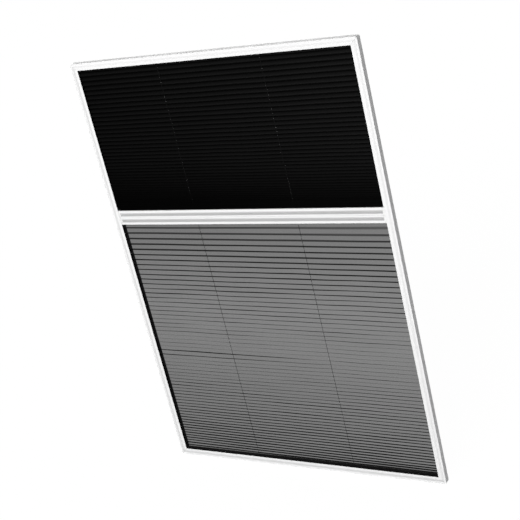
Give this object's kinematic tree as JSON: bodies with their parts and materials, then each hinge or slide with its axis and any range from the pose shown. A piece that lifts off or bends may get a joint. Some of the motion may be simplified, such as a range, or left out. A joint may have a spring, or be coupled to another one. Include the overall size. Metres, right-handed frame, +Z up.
{
  "type": "skylight window blind",
  "caption": "Framed roof window blind: black pleated sun shade above and pleated insect screen below, each drawn by its own sliding handle rail on taut cords.",
  "frame": {"origin": "bottom centre of the outer frame, at the middle of its depth", "axes": "+Z up along the blind, +X to the right seen from the room, +Y from the room towards the window"},
  "size_m": [1.1, 0.022, 1.6],
  "materials": {
    "white_aluminium": "matte",
    "white_plastic": "satin",
    "black_plastic": "matte",
    "grey_plastic": "matte",
    "bare_steel": "satin",
    "magnet": "matte",
    "tension_cord": "matte",
    "shade_fabric": "matte",
    "screen_mesh": "matte"
  },
  "bodies": {
    "frame": {"frame_left": "white_aluminium", "frame_right": "white_aluminium", "frame_top": "white_aluminium", "frame_bottom": "white_aluminium", "corner_key_bottom_left": "grey_plastic", "corner_key_bottom_right": "grey_plastic", "corner_key_top_right": "grey_plastic", "corner_key_top_left": "grey_plastic", "side_guide_left": "black_plastic", "side_guide_right": "black_plastic", "top_fabric_carrier": "black_plastic", "bottom_fabric_carrier": "black_plastic", "cord_anchor_left": "black_plastic", "cord_anchor_right": "black_plastic", "cord_ferrule_left": "bare_steel", "cord_ferrule_right": "bare_steel", "cord_clamp_left": "black_plastic", "cord_clamp_right": "black_plastic", "clamp_screw_left": "bare_steel", "clamp_screw_right": "bare_steel", "tension_cord_left": "tension_cord", "tension_cord_right": "tension_cord", "shade_fabric": "shade_fabric", "screen_fabric": "screen_mesh"},
    "shade_rail": {"shade_rail": "white_aluminium", "shade_fabric_strip": "black_plastic", "shade_rail_cap_left": "white_plastic", "shade_cord_bush_left": "white_plastic", "shade_magnet_left": "magnet", "shade_rail_cap_right": "white_plastic", "shade_cord_bush_right": "white_plastic", "shade_magnet_right": "magnet"},
    "screen_rail": {"screen_rail": "white_aluminium", "screen_fabric_strip": "black_plastic", "screen_rail_cap_left": "white_plastic", "screen_cord_bush_left": "white_plastic", "screen_magnet_left": "magnet", "screen_rail_cap_right": "white_plastic", "screen_cord_bush_right": "white_plastic", "screen_magnet_right": "magnet"}
  },
  "joints": [
    {"name": "shade_slide", "type": "slide", "parent": "frame", "child": "shade_rail", "axis": [0, 0, 1], "range_m": [0, 0.48], "deforming": ["shade_fabric"]},
    {"name": "screen_slide", "type": "slide", "parent": "frame", "child": "screen_rail", "axis": [0, 0, 1], "range_m": [-0.9, 0], "deforming": ["screen_fabric"]}
  ]
}
